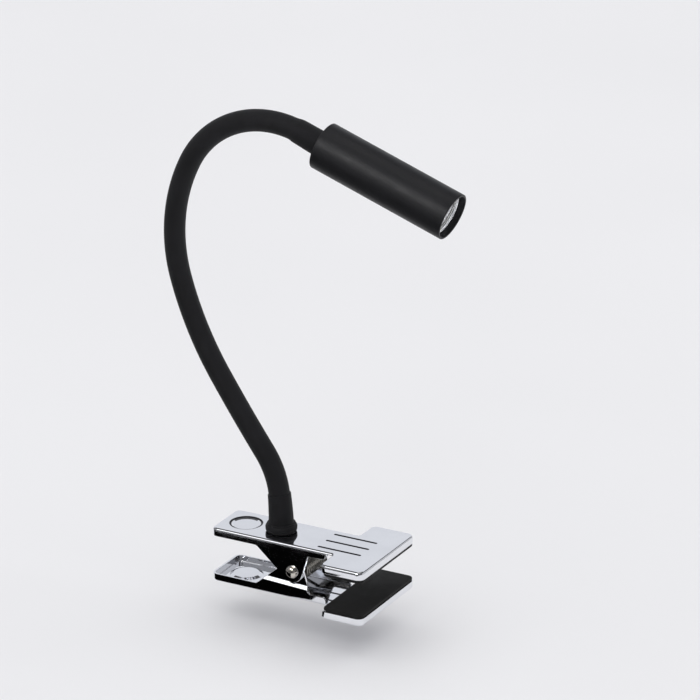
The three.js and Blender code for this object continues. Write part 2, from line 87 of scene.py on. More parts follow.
SHEET = 1.2
FOLD = 1.6
SKIRT = 4.6
SKIRT_STOP = 4.7
CORNER = 4.0
NOTCH_CORNER = 1.0
STEM_HALF = 15.0
EAR_END = 6.2
EAR_REAR = -61.3
EAR_FRONT = -28.7
JOGGLE_STEP = 1.6
JOGGLE_RISE = 2.1
JOGGLE_CURVE = [  # share of the rise, share of the step: a straight run between two bends
    (0, 0),
    (0.06, 0.015),
    (0.13, 0.07),
    (0.22, 0.19),
    (0.5, 0.5),
    (0.78, 0.81),
    (0.87, 0.93),
    (0.94, 0.985),
    (1, 1),
]
SLOT_LENGTH, SLOT_WIDTH, SLOT_PITCH, SLOT_REAR = 26.7, 1.5, 9.3, -25.7
DIMPLE_X, DIMPLE_DEPTH = -76.0, 0.85
DIMPLE_EDGE = (8.2, 9.42)

PLATE_LOW, PLATE_HIGH = mm_box("upper_plate")
PLATE_TOP = PLATE_HIGH.z
STEM_REAR = PLATE_LOW.x
JAW_FRONT = PLATE_HIGH.x
JAW_HALF = PLATE_HIGH.y
PAD_LIP_INSET = 0.5
PAD_LOW, _ = mm_box("upper_pad")
JAW_REAR = PAD_LOW.x - SHEET - PAD_LIP_INSET

NUT_LOW, NUT_HIGH = mm_box("hex_nut")
NECK_X = (NUT_LOW.x + NUT_HIGH.x) / 2
NECK_ARCS = [  # length and the heading, from +X, that each arc ends on
    (21, 96),
    (26, 126),
    (49, 123),
    (58, 106),
    (33, 85),
    (36, 63),
    (83, -22),
    (12, -19.4),
]
NECK_LENGTH = sum(length for length, _ in NECK_ARCS)
FIRST_HINGE = 32
HINGE_PITCH = 37
HINGES = 8
BOOT_TOP = 22.0
SLEEVE_RADIUS = 5.92
SLEEVE_BORE = 4.9
HEAD_LENGTH = 82.0
HEAD_RADIUS = 13.2
HEAD_BORE = 12.0


# ------------------------------------------------------------------ mesh helpers


def link(name, bm, sharp=CREASE):
    """Turns a bmesh in millimetres into a linked object in metres."""
    bmesh.ops.remove_doubles(bm, verts=bm.verts, dist=1e-4)
    bmesh.ops.recalc_face_normals(bm, faces=bm.faces)
    bmesh.ops.scale(bm, vec=(MM, MM, MM), verts=bm.verts)
    mesh = bpy.data.meshes.new(name)
    bm.to_mesh(mesh)
    bm.free()
    piece = bpy.data.objects.new(name, mesh)
    bpy.context.scene.collection.objects.link(piece)
    shade(piece, sharp)
    return piece


def shade(piece, sharp):
    mesh = piece.data
    mesh.shade_smooth()
    mesh.set_sharp_from_angle(angle=sharp)


def add_rings(bm, rings, closed_loop=False):
    """Skins a list of rings of points. Each ring has the same count."""
    made = [[bm.verts.new(point) for point in ring] for ring in rings]
    count = len(made[0])
    pairs = list(zip(made, made[1:]))
    if closed_loop:
        pairs.append((made[-1], made[0]))
    for low, high in pairs:
        for i in range(count):
            j = (i + 1) % count
            bm.faces.new((low[i], low[j], high[j], high[i]))
    return made


def loft(name, rings, sharp=CREASE):
    """A closed solid from rings, with a flat cap on each end."""
    bm = bmesh.new()
    made = add_rings(bm, rings)
    bm.faces.new(made[0][::-1])
    bm.faces.new(made[-1])
    return link(name, bm, sharp)


def turned(name, profile, place, sides):
    """A body of revolution: profile lists (radius, along) as a closed loop, and
    place(radius, along, angle) puts each point in space."""
    bm = bmesh.new()
    rings = []
    for radius, along in profile:
        safe = max(radius, 1e-3)
        rings.append([place(safe, along, TAU * i / sides) for i in range(sides)])
    on_axis = profile[0][0] < 1e-3 and profile[-1][0] < 1e-3
    made = add_rings(bm, rings, closed_loop=not on_axis)
    if on_axis:
        bm.faces.new(made[0][::-1])
        bm.faces.new(made[-1])
        for ring in (made[0], made[-1]):
            bmesh.ops.pointmerge(bm, verts=ring, merge_co=sum((v.co for v in ring), Vector()) / sides)
    return link(name, bm)


def arc(cx, cy, radius, start, end, steps):
    """Points on an arc, from start to end in degrees."""
    points = []
    for i in range(steps + 1):
        angle = math.radians(start + (end - start) * i / steps)
        points.append((cx + radius * math.cos(angle), cy + radius * math.sin(angle)))
    return points


def rounded(points, steps=6):
    """A closed outline with its corners rounded. Each point is (x, y, radius)."""
    outline = []
    count = len(points)
    for i, (x, y, radius) in enumerate(points):
        here = Vector((x, y))
        before = here - Vector(points[i - 1][:2])
        after = Vector(points[(i + 1) % count][:2]) - here
        before.normalize()
        after.normalize()
        if radius <= 0:
            outline.append((x, y))
            continue
        turn = before.angle_signed(after)
        reach = radius * math.tan(abs(turn) / 2)
        start = here - before * reach
        side = Vector((before.y, -before.x)) * (1 if turn > 0 else -1)
        centre = start + side * radius
        first = start - centre
        for k in range(steps + 1):
            spoke = first.copy()
            angle = -turn * k / steps
            spoke.rotate(Matrix.Rotation(angle, 2))
            outline.append(tuple(centre + spoke))
    return outline


def prism_y(name, outline, y0, y1):
    return loft(name, [[(x, y, z) for x, z in outline] for y in (y0, y1)])


def prism_z(name, outline, z0, z1):
    return loft(name, [[(x, y, z) for x, y in outline] for z in (z0, z1)])


def settle(piece):
    """Applies a piece's modifiers to its mesh."""
    graph = bpy.context.evaluated_depsgraph_get()
    mesh = bpy.data.meshes.new_from_object(piece.evaluated_get(graph))
    piece.modifiers.clear()
    piece.data = mesh


def cut(piece, tool, operation="DIFFERENCE"):
    step = piece.modifiers.new("cut", "BOOLEAN")
    step.operation = operation
    step.solver = "EXACT"
    step.object = tool
    settle(piece)
    bpy.data.objects.remove(tool)


def soften_edges(piece, width, segments=2, angle=40):
    bevel = piece.modifiers.new("edges", "BEVEL")
    bevel.width = width * MM
    bevel.segments = segments
    bevel.limit_method = "ANGLE"
    bevel.angle_limit = math.radians(angle)
    bevel.use_clamp_overlap = False
    bevel.harden_normals = False
    settle(piece)
    shade(piece, math.radians(35))
    weigh = piece.modifiers.new("weigh", "WEIGHTED_NORMAL")
    weigh.keep_sharp = True
    settle(piece)


# ------------------------------------------------------------------ the neck's line


def neck_at(distance):
    """Where the neck's centreline is, in X and Z, and its heading."""
    x, z, heading, left = NECK_X, PLATE_TOP, math.pi / 2, distance
    for length, end in NECK_ARCS:
        if left <= 0:
            break
        turn = math.radians(end) - heading
        part = min(left, length)
        after = heading + turn * part / length
        radius = length / turn
        x += radius * (math.sin(after) - math.sin(heading))
        z -= radius * (math.cos(after) - math.cos(heading))
        heading = after
        left -= part
    beyond = distance if distance < 0 else left
    return x + beyond * math.cos(heading), z + beyond * math.sin(heading), heading


def on_neck(radius, along, angle):
    x, z, heading = neck_at(along)
    side = radius * math.cos(angle)
    return Vector(
        (
            x + side * math.sin(heading),
            radius * math.sin(angle),
            z - side * math.cos(heading),
        )
    )


def on_head(radius, along, angle):
    return on_neck(radius, NECK_LENGTH + along, angle)


def on_stud(radius, along, angle):
    return Vector((NECK_X + radius * math.cos(angle), radius * math.sin(angle), along))


def on_pivot(radius, along, angle):
    return PIVOT + Vector((radius * math.cos(angle), -along, radius * math.sin(angle)))


def neck_point(distance):
    x, z, _ = neck_at(distance)
    return Vector((x, 0, z)) * MM


# ------------------------------------------------------------------ materials


def new_material(name, colour, roughness, metallic=0.0):
    """A material and its shader."""
    material = bpy.data.materials.new(name)
    material.use_nodes = True
    nodes = material.node_tree.nodes
    shader = nodes["Principled BSDF"]
    shader.inputs["Base Color"].default_value = (*colour, 1)
    shader.inputs["Roughness"].default_value = roughness
    shader.inputs["Metallic"].default_value = metallic
    return material, shader


def texture(material, kind, scale, stretch=(1, 1, 1), **settings):
    nodes, links = material.node_tree.nodes, material.node_tree.links
    place = nodes.new("ShaderNodeTexCoord")
    mapping = nodes.new("ShaderNodeMapping")
    mapping.inputs["Scale"].default_value = stretch
    node = nodes.new(kind)
    node.inputs["Scale"].default_value = scale
    for key, value in settings.items():
        node.inputs[key].default_value = value
    links.new(place.outputs["Object"], mapping.inputs["Vector"])
    links.new(mapping.outputs["Vector"], node.inputs["Vector"])
    return node.outputs["Fac" if "Fac" in node.outputs else "Distance"]


def spread(material, source, socket, low, high, start=0.3, end=0.7):
    """Drives a shader value from a texture, between low and high."""
    nodes, links = material.node_tree.nodes, material.node_tree.links
    ramp = nodes.new("ShaderNodeMapRange")
    ramp.inputs["From Min"].default_value = start
    ramp.inputs["From Max"].default_value = end
    ramp.inputs["To Min"].default_value = low
    ramp.inputs["To Max"].default_value = high
    links.new(source, ramp.inputs["Value"])
    links.new(ramp.outputs["Result"], socket)


def tint(material, source, shader, low, high, start=0.3, end=0.7):
    """Varies the base colour between two colours with a texture."""
    nodes, links = material.node_tree.nodes, material.node_tree.links
    ramp = nodes.new("ShaderNodeValToRGB")
    ramp.color_ramp.elements[0].position = start
    ramp.color_ramp.elements[0].color = (*low, 1)
    ramp.color_ramp.elements[1].position = end
    ramp.color_ramp.elements[1].color = (*high, 1)
    links.new(source, ramp.inputs["Fac"])
    links.new(ramp.outputs["Color"], shader.inputs["Base Color"])


def relief(material, shader, layers):
    """Stacks bumps: each layer is (source, strength, height in mm)."""
    nodes, links = material.node_tree.nodes, material.node_tree.links
    before = None
    for source, strength, height in layers:
        bump = nodes.new("ShaderNodeBump")
        bump.inputs["Strength"].default_value = strength
        bump.inputs["Distance"].default_value = height * MM
        links.new(source, bump.inputs["Height"])
        if before:
            links.new(before, bump.inputs["Normal"])
        before = bump.outputs["Normal"]
    links.new(before, shader.inputs["Normal"])


def chrome_material():
    material, shader = new_material("chrome_plate", (0.83, 0.84, 0.87), 0.06, 1)
    cloud = texture(material, "ShaderNodeTexNoise", 60, Detail=3.0)
    wave = texture(material, "ShaderNodeTexNoise", 55, Detail=1.0)
    fine = texture(material, "ShaderNodeTexNoise", 1400, Detail=2.0)
    spread(material, cloud, shader.inputs["Roughness"], 0.03, 0.08)
    tint(material, cloud, shader, (0.82, 0.83, 0.86), (0.87, 0.88, 0.91))
    relief(material, shader, [(wave, 0.10, 0.2), (fine, 0.03, 0.01)])
    return material


def nickel_material():
    material, shader = new_material("polished_nickel", (0.72, 0.68, 0.62), 0.13, 1)
    cloud = texture(material, "ShaderNodeTexNoise", 260, Detail=4.0)
    speck = texture(material, "ShaderNodeTexNoise", 1800, Detail=2.0)
    spread(material, cloud, shader.inputs["Roughness"], 0.09, 0.22)
    tint(material, cloud, shader, (0.64, 0.60, 0.53), (0.78, 0.75, 0.69))
    relief(material, shader, [(speck, 0.08, 0.03)])
    return material


def steel_material(name, colour, grain=1500, rough=(0.22, 0.42)):
    material, shader = new_material(name, colour, 0.3, 1)
    drawn = texture(material, "ShaderNodeTexNoise", grain, (1, 0.15, 1), Detail=3.0)
    patch = texture(material, "ShaderNodeTexNoise", 130, Detail=3.0)
    dark = tuple(0.82 * c for c in colour)
    spread(material, drawn, shader.inputs["Roughness"], *rough)
    tint(material, patch, shader, dark, colour)
    relief(material, shader, [(drawn, 0.15, 0.03)])
    return material


def silicone_material(name, dark, light):
    """Matte black rubber: a fine powdery grain and faint handling marks."""
    material, shader = new_material(name, dark, 0.7)
    grain = texture(material, "ShaderNodeTexNoise", 2600, Detail=3.0)
    marks = texture(material, "ShaderNodeTexNoise", 90, Detail=5.0, Roughness=0.65)
    dimples = texture(material, "ShaderNodeTexVoronoi", 1500)
    shader.inputs["Specular IOR Level"].default_value = 0.2
    shader.inputs["Sheen Weight"].default_value = 0.06
    shader.inputs["Sheen Roughness"].default_value = 0.5
    spread(material, marks, shader.inputs["Roughness"], 0.62, 0.8)
    tint(material, marks, shader, dark, light, 0.35, 0.75)
    relief(material, shader, [(grain, 0.35, 0.06), (dimples, 0.18, 0.05)])
    return material


def powder_coat_material():
    """The head's satin black coat, with a very fine blasted grain."""
    material, shader = new_material("satin_black_aluminium", (0.008, 0.008, 0.010), 0.42, 0.0)
    grain = texture(material, "ShaderNodeTexNoise", 3200, Detail=3.0)
    blast = texture(material, "ShaderNodeTexVoronoi", 2100)
    cloud = texture(material, "ShaderNodeTexNoise", 140, Detail=4.0)
    shader.inputs["Specular IOR Level"].default_value = 0.3
    spread(material, cloud, shader.inputs["Roughness"], 0.40, 0.50)
    tint(material, grain, shader, (0.005, 0.005, 0.006), (0.012, 0.012, 0.014))
    relief(material, shader, [(grain, 0.40, 0.05), (blast, 0.22, 0.04)])
    return material


def plastic_material(name, dark, light):
    material, shader = new_material(name, light, 0.4)
    grain = texture(material, "ShaderNodeTexNoise", 600, Detail=3.0)
    spread(material, grain, shader.inputs["Roughness"], 0.35, 0.5)
    tint(material, grain, shader, dark, light)
    relief(material, shader, [(grain, 0.12, 0.04)])
    return material


def mirror_material():
    material, shader = new_material("reflector_mirror", (0.9, 0.91, 0.93), 0.04, 0.3)
    haze = texture(material, "ShaderNodeTexNoise", 320, Detail=3.0)
    ripple = texture(material, "ShaderNodeTexNoise", 520, Detail=1.0)
    spread(material, haze, shader.inputs["Roughness"], 0.1, 0.2)
    tint(material, haze, shader, (0.90, 0.91, 0.94), (0.97, 0.97, 0.99))
    relief(material, shader, [(ripple, 0.12, 0.08)])
    return material


def glass_material():
    material, shader = new_material("clear_lens", (0.97, 0.98, 1.0), 0.02)
    smear = texture(material, "ShaderNodeTexNoise", 260, Detail=4.0)
    shader.inputs["Alpha"].default_value = 0.1
    spread(material, smear, shader.inputs["Roughness"], 0.0, 0.03)
    return material


CHROME = chrome_material()
NICKEL = nickel_material()
ZINC = steel_material("zinc_steel", (0.56, 0.57, 0.58))
# painted shade: a near-black steel for the slots' walls and the dimple's edge, standing in for the
# shade there
PAINTED_SHADE_EDGE = steel_material("painted_shade_edge", (0.05, 0.05, 0.055), 1500, (0.45, 0.6))
SPRING_STEEL = steel_material("drawn_spring_steel", (0.36, 0.345, 0.31), 900, (0.2, 0.28))
BRASS = steel_material("turned_brass", (0.70, 0.52, 0.26), 1200)
ALUMINIUM = steel_material("bright_aluminium", (0.80, 0.81, 0.82), 1800, (0.14, 0.3))
SILICONE = silicone_material("neck_silicone", (0.005, 0.005, 0.006), (0.010, 0.010, 0.012))
BOOT_RUBBER = silicone_material("boot_rubber", (0.005, 0.005, 0.006), (0.011, 0.011, 0.013))
JAW_RUBBER = silicone_material("jaw_rubber", (0.005, 0.005, 0.005), (0.009, 0.009, 0.009))
POWDER_COAT = powder_coat_material()
BLACK_PLASTIC = plastic_material("black_plastic", (0.010, 0.010, 0.010), (0.022, 0.022, 0.022))
LEAD = plastic_material("lead_plastic", (0.30, 0.02, 0.02), (0.42, 0.03, 0.03))
BOARD = plastic_material("board_white", (0.72, 0.72, 0.68), (0.84, 0.84, 0.80))
PHOSPHOR = plastic_material("led_phosphor", (0.75, 0.55, 0.05), (0.9, 0.72, 0.12))
MIRROR = mirror_material()
GLASS = glass_material()


def finish_piece(piece, material, body=None, nodes=()):
    """Gives a piece its material, the body it rides on and what it replaces."""
    if not piece.data.materials:
        piece.data.materials.append(material)
    if body:
        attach(piece, body)
    if nodes:
        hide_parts(*nodes)
    return piece


# ------------------------------------------------------------------ clamp plates


def plate_outline(inset):
    stem, jaw = STEM_HALF - inset, JAW_HALF - inset
    rear, notch, front = STEM_REAR + inset, JAW_REAR + inset, JAW_FRONT - inset
    convex = max(CORNER - inset, 0.4)
    concave = NOTCH_CORNER + inset
    return rounded(
        [
            (rear, -stem, convex),
            (notch, -stem, concave),
            (notch, -jaw, convex),
            (front, -jaw, convex),
            (front, jaw, convex),
            (notch, jaw, convex),
            (notch, stem, concave),
            (rear, stem, convex),
        ],
        8,
    )


def joggle_depth(x):
    """How far below the plate's top the lower ears start to step inwards."""
    at_pivot, slope, shallowest, deepest = 5.8, 0.206, 6.0, 9.2
    return min(max(at_pivot - slope * (x - PIVOT.x), shallowest), deepest)


def ear_side():
    """The folded plate's silhouette from the side, in X and Z, with its ears."""
    top = PLATE_TOP + 2
    edge = PLATE_TOP - SKIRT
    stop = JAW_REAR - SKIRT_STOP
    start = JAW_REAR + SHEET + 0.1
    under = PLATE_TOP - SHEET

    def tangent(x, side):
        towards = Vector((x - PIVOT.x, edge - PIVOT.z))
        angle = math.atan2(towards.y, towards.x) % TAU
        return angle + side * math.acos(EAR_END / towards.length)

    first = math.degrees(tangent(EAR_REAR, 1))
    last = math.degrees(tangent(EAR_FRONT, -1))
    if last < first:
        last += 360
    ear = arc(PIVOT.x, PIVOT.z, EAR_END, first, last, 18)
    outline = [(STEM_REAR - 2, top, 0), (STEM_REAR - 2, edge, 0), (EAR_REAR, edge, 3)]
    outline += [(x, z, 0) for x, z in ear]
    outline += [
        (EAR_FRONT, edge, 1.6),
        (stop, edge, 2.2),
        (stop, under, 0.5),
        (start, under, 0.5),
        (start, edge, 1.2),
        (JAW_FRONT + 2, edge, 0),
        (JAW_FRONT + 2, top, 0),
    ]
    return rounded(outline, 5)


def folded_sheet(name, nested):
    """The blank, folded down all round, before its side outline is cut."""
    deep = PIVOT.z - EAR_END - 2
    rings = []

    def ring(inset, z):
        rings.append([(x, y, z) for x, y in plate_outline(inset)])

    def joggle_ring(inset, rise):
        rings.append([(x, y, PLATE_TOP - joggle_depth(x) - rise) for x, y in plate_outline(inset)])

    def wall_down(inset):
        if not nested:
            return
        for rise, step in JOGGLE_CURVE:
            joggle_ring(inset + JOGGLE_STEP * step, JOGGLE_RISE * rise)

    fold_steps = 8
    for k in range(fold_steps + 1):
        angle = math.pi / 2 * k / fold_steps
        ring(FOLD * (1 - math.sin(angle)), PLATE_TOP - FOLD * (1 - math.cos(angle)))
    wall_down(0)
    step = JOGGLE_STEP if nested else 0
    ring(step, deep)
    ring(step + SHEET, deep)
    outside = len(rings)
    wall_down(SHEET)
    rings[outside:] = rings[outside:][::-1]
    inner_fold = FOLD - SHEET
    for k in range(4):
        angle = math.pi / 2 * (1 - k / 3)
        ring(FOLD - inner_fold * math.sin(angle), PLATE_TOP - FOLD + inner_fold * math.cos(angle))
    return loft(name, rings)


def dimple_tools():
    """The recess's cutter, and the bulge that it makes on the other side."""
    centre = Vector((DIMPLE_X, 0, PLATE_TOP))

    def place(radius, along, angle):
        return centre + Vector((radius * math.cos(angle), radius * math.sin(angle), along))

    depth = DIMPLE_DEPTH
    foot = [(6.75, 0), (7.0, 0.03), (7.2, 0.085)]
    brow = [(DIMPLE_EDGE[0], 0.46), (9.0, depth - 0.09), (9.22, depth - 0.025), (DIMPLE_EDGE[1], depth)]
    recess = [(0, -depth - 0.1), (4.2, -depth - 0.06)]
    recess += [(radius, rise - depth) for radius, rise in foot + brow]
    recess += [(9.5, 1), (0, 1)]
    under = -SHEET - depth
    bulge = [(0, under), (6.9, under), (7.2, under + 0.04), (7.4, under + 0.12)]
    bulge += [(8.9, -SHEET - 0.12), (9.2, -SHEET - 0.03), (9.6, -SHEET + 0.3), (0, -SHEET + 0.3)]
    return (
        turned("dimple_cutter", recess, place, 72),
        turned("dimple_bulge", bulge, place, 72),
    )


def clamp_plate(name, nested, extra_cuts=()):
    plate = folded_sheet(name, nested)
    reach = JAW_HALF + 5
    cut(plate, prism_y("side", ear_side(), -reach, reach), "INTERSECT")
    for row in (-1, 0, 1):
        y = row * SLOT_PITCH
        half = SLOT_WIDTH / 2
        near, far = SLOT_REAR + half, SLOT_REAR + SLOT_LENGTH - half
        outline = arc(near, y, half, 90, 270, 8) + arc(far, y, half, -90, 90, 8)
        cut(plate, prism_z("slot", outline, PLATE_TOP - 3, PLATE_TOP + 1))
    recess, bulge = dimple_tools()
    cut(plate, bulge, "UNION")
    cut(plate, recess)
    bore = arc(PIVOT.x, PIVOT.z, 2.8, 0, 350, 35)
    cut(plate, prism_y("pin_hole", bore, -reach, reach))
    for tool in extra_cuts:
        cut(plate, tool)
    soften_edges(plate, 0.2)
    paint_shade_on_pressed_edges(plate)
    return plate


def paint_shade_on_pressed_edges(plate):
    """Paints shade on the slots' cut walls and the dimple's drawn edge: a near-black steel that stands
    in for their shade.
    """
    plate.data.materials.append(CHROME)
    plate.data.materials.append(PAINTED_SHADE_EDGE)
    margin = 0.12
    for face in plate.data.polygons:
        x, y, _ = face.center / MM
        beside_slot = any(abs(y - row * SLOT_PITCH) < SLOT_WIDTH / 2 + margin for row in (-1, 0, 1))
        along_slot = SLOT_REAR - margin < x < SLOT_REAR + SLOT_LENGTH + margin
        from_dimple = math.hypot(x - DIMPLE_X, y)
        at_dimple = DIMPLE_EDGE[0] < from_dimple < DIMPLE_EDGE[1]
        slot_wall = beside_slot and along_slot and abs(face.normal.z) < 0.8
        drawn_edge = at_dimple and 0 < face.normal.z < 0.998
        if slot_wall or drawn_edge:
            # these faces get the painted shade
            face.material_index = 1


def turn_over(piece):
    """The lower jaw is the upper one turned over about the pivot."""
    for vertex in piece.data.vertices:
        vertex.co.y = -vertex.co.y
        vertex.co.z = 2 * PIVOT.z * MM - vertex.co.z
    piece.data.update()
    return piece


def jaw_pad(name):
    """Rubber pad: a lip below the fold and a plug inside it."""

    def outline(inset):
        rear = JAW_REAR + SHEET + inset
        front = JAW_FRONT - inset
        half = JAW_HALF - inset
        corner = 2.8
        return rounded(
            [
                (rear, -half, corner),
                (front, -half, corner),
                (front, half, corner),
                (rear, half, corner),
            ],
            6,
        )

    lip, lip_inset, plug_inset = 1.8, PAD_LIP_INSET, 1.6
    levels = [(lip_inset + 0.5, 0), (lip_inset + 0.15, 0.12), (lip_inset, 0.5)]
    levels += [(lip_inset, lip - 0.3), (lip_inset + 0.25, lip), (plug_inset, lip)]
    levels += [(plug_inset, 4.8), (plug_inset + 0.3, 5.1)]
    return loft(name, [[(x, y, z) for x, y in outline(inset)] for inset, z in levels])


def make_clamp():
    stud_hole = prism_z("stud_hole", arc(NECK_X, 0, 5.0, 0, 350, 35), 0, PLATE_TOP + 2)
    upper = clamp_plate("upper_plate_folded", False, [stud_hole])
    lower = turn_over(clamp_plate("lower_plate_folded", True))
    finish_piece(upper, CHROME, "clamp", ["upper_plate"])
    finish_piece(lower, CHROME, "lower_jaw", ["lower_plate"])
    finish_piece(jaw_pad("upper_pad_rubber"), JAW_RUBBER, "clamp", ["upper_pad"])
    lower_pad = turn_over(jaw_pad("lower_pad_rubber"))
    finish_piece(lower_pad, JAW_RUBBER, "lower_jaw", ["lower_pad"])


def make_pivot():
    seat = STEM_HALF + 0.3
    dome, height = 3.5, 2.3
    angles = [math.radians(degrees) for degrees in range(12, 91, 6)]
    swell = [(dome * math.cos(a), height * math.sin(a)) for a in angles]
    swell[-1] = (0, height)
    rim = [(dome - 0.25, 0), (dome, 0.2), (dome, 0.4)]
    head = [(r, seat + z) for r, z in rim + swell]
    far = -(seat + 0.6)
    pin = [(0, far), (2.3, far), (2.5, far + 0.2), (2.5, seat)] + head
    piece = turned("pivot_pin_domed", pin, on_pivot, 72)
    finish_piece(piece, NICKEL, "clamp", ["pivot_pin"])
    socket = 0.9
    inside = [(0, -(seat + socket)), (2.8, -(seat + socket)), (2.8, -seat)]
    cap = inside + [(r, -(seat + z)) for r, z in rim + swell]
    piece = turned("pivot_cap_domed", cap, on_pivot, 72)
    finish_piece(piece, NICKEL, "clamp", ["pivot_cap"])


def make_spring():
    """Torsion spring: the coil, and a leg back under each plate."""
    radius, wire, turns, pitch = 6.7, 0.8, 9.5, 2.0
    tilt, leg = math.radians(19), 21.0
    start = math.pi / 2 - tilt
    sweep = turns * TAU - 2 * tilt
    steps = 300
    half = turns * pitch / 2
    line = []
    for i in range(steps + 1):
        share = i / steps
        angle = start - share * sweep
        place = Vector((radius * math.cos(angle), -half + 2 * half * share, radius * math.sin(angle)))
        line.append(PIVOT + place)
    up = Vector((-math.cos(tilt), 0, math.sin(tilt)))
    down = Vector((-math.cos(tilt), 0, -math.sin(tilt)))
    legs = 10
    before = [line[0] + up * leg * (1 - i / legs) for i in range(legs)]
    after = [line[-1] + down * leg * (i + 1) / legs for i in range(legs)]
    line = before + line + after
    rings = []
    sides = 12
    for i, point in enumerate(line):
        ahead = line[min(i + 1, len(line) - 1)] - line[max(i - 1, 0)]
        ahead.normalize()
        across = ahead.cross(Vector((0, 1, 0))).normalized()
        other = ahead.cross(across)
        end = i in (0, len(line) - 1)
        size = wire * (0.75 if end else 1)
        angles = [TAU * k / sides for k in range(sides)]
        ring = [point + across * size * math.cos(a) + other * size * math.sin(a) for a in angles]
        rings.append(ring)
    piece = loft("torsion_spring_coil", rings, math.radians(50))
    finish_piece(piece, SPRING_STEEL, None, ["torsion_spring"])
    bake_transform(piece)


# ------------------------------------------------------------------ foot of the neck


def threaded(outer, depth, z0, z1, pitch=1.0):
    """A screw's profile: one V for each turn of the thread."""
    turns = int((z1 - z0) / pitch)
    points = []
    for i in range(turns):
        z = z0 + i * pitch
        points += [(outer - depth, z + 0.05), (outer, z + pitch * 0.42), (outer, z + pitch * 0.58)]
    points.append((outer - depth, z0 + turns * pitch))
    return points


def hex_nut(name, place, flats, bore, z0, z1):
    """A hexagonal nut whose corners are turned off at both faces."""
    bm = bmesh.new()
    per_side = 10
    sides = 6 * per_side
    apothem = flats / 2

    def hexagon(angle):
        inside = (angle + math.pi / 6) % (math.pi / 3) - math.pi / 6
        return apothem / math.cos(inside)

    chamfer = 0.55
    levels = [(z0, True), (z0 + chamfer, False), (z1 - chamfer, False), (z1, True)]
    rings = [[place(bore, z0 + 0.4, TAU * i / sides) for i in range(sides)]]
    rings.append([place(bore + 0.4, z0, TAU * i / sides) for i in range(sides)])
    for z, trimmed in levels:
        ring = []
        for i in range(sides):
            angle = TAU * (i + 0.5) / sides
            radius = hexagon(angle)
            if trimmed:
                radius = min(radius, apothem - 0.15)
            else:
                radius = min(radius, apothem * 1.12)
            ring.append(place(radius, z, angle))
        rings.append(ring)
    rings.append([place(bore + 0.4, z1, TAU * i / sides) for i in range(sides)])
    rings.append([place(bore, z1 - 0.4, TAU * i / sides) for i in range(sides)])
    add_rings(bm, rings, closed_loop=True)
    return link(name, bm, math.radians(25))


def make_foot():
    low, high = mm_box("mounting_stud")
    bore, outer = 2.9, 4.6
    stud = [(bore, low.z + 0.3), (bore + 0.3, low.z), (outer - 0.6, low.z)]
    stud += threaded(outer, 0.4, low.z + 0.4, high.z - 0.4)
    stud += [(outer - 0.6, high.z), (bore, high.z)]
    piece = turned("mounting_stud_threaded", stud, on_stud, 48)
    finish_piece(piece, BRASS, "clamp", ["mounting_stud"])

    low, high = mm_box("lock_washer")
    washer = [(4.9, low.z), (7.6, low.z), (7.8, low.z + 0.15), (7.8, high.z - 0.15)]
    washer += [(7.6, high.z), (4.9, high.z)]
    piece = turned("lock_washer_ring", washer, on_stud, 64)
    finish_piece(piece, ZINC, "clamp", ["lock_washer"])

    low, high = mm_box("hex_nut")
    piece = hex_nut("hex_nut_chamfered", on_stud, 14, 4.9, low.z, high.z)
    finish_piece(piece, ZINC, "clamp", ["hex_nut"])

    low, high = mm_box("cable_bush")
    flange = 4.4
    top = mm_box("mounting_stud")[0].z - 0.3
    bush = [(1.9, low.z + 0.6)] + arc(2.5, low.z + 0.6, 0.6, 180, 270, 5)
    bush += arc(flange - 0.9, low.z + 0.9, 0.9, -90, 0, 6)
    bush += [(flange, top - 0.2), (flange - 0.2, top), (2.6, top), (2.6, high.z), (1.9, high.z)]
    piece = turned("cable_bush_moulded", bush, on_stud, 56)
    finish_piece(piece, BLACK_PLASTIC, "clamp", ["cable_bush"])

    # The boot is a soft bulb on the plate with a tapered tube above it.
    bulb, foot, tip = 8.85, 6.95, 6.45
    boot = [(7.9, 0.3)]
    boot += arc(bulb - 1.5, 1.8, 1.5, -70, -20, 6)
    boot += arc(bulb - 2.1, 2.7, 2.1, -15, 68, 12)
    boot += arc(foot + 0.9, 5.5, 0.9, 245, 182, 6)
    tube = 14
    for k in range(1, tube):
        share = k / tube
        boot.append((foot + (tip - foot) * share, 6.0 + (BOOT_TOP - 0.5 - 6.0) * share))
    boot += arc(tip - 0.35, BOOT_TOP - 0.35, 0.35, 0, 90, 5)
    boot += [(SLEEVE_BORE, BOOT_TOP), (SLEEVE_BORE + 0.3, 9.4), (5.3, 9.3), (5.3, 5.1), (7.9, 5.0)]
    piece = turned("neck_boot_moulded", boot, on_neck, 72)
    finish_piece(piece, BOOT_RUBBER, "clamp", ["neck_boot"])


# ------------------------------------------------------------------ neck


def sleeve_radius(along):
    """Nearly even along the neck, then stretched over the ferrule at its end."""
    flare_from, flare_to, growth_from = NECK_LENGTH - 19.5, NECK_LENGTH - 15.5, 200
    most_swell, most_taper, most_growth = 0.6, 0.35, 0.2
    share = min(max((along - flare_from) / (flare_to - flare_from), 0), 1)
    swell = most_swell * share * share * (3 - 2 * share)
    taper = most_taper * max(0, (along - flare_to) / (NECK_LENGTH - flare_to))
    growth = most_growth * max(0, (along - growth_from) / (NECK_LENGTH - growth_from))
    return SLEEVE_RADIUS + swell + taper + growth


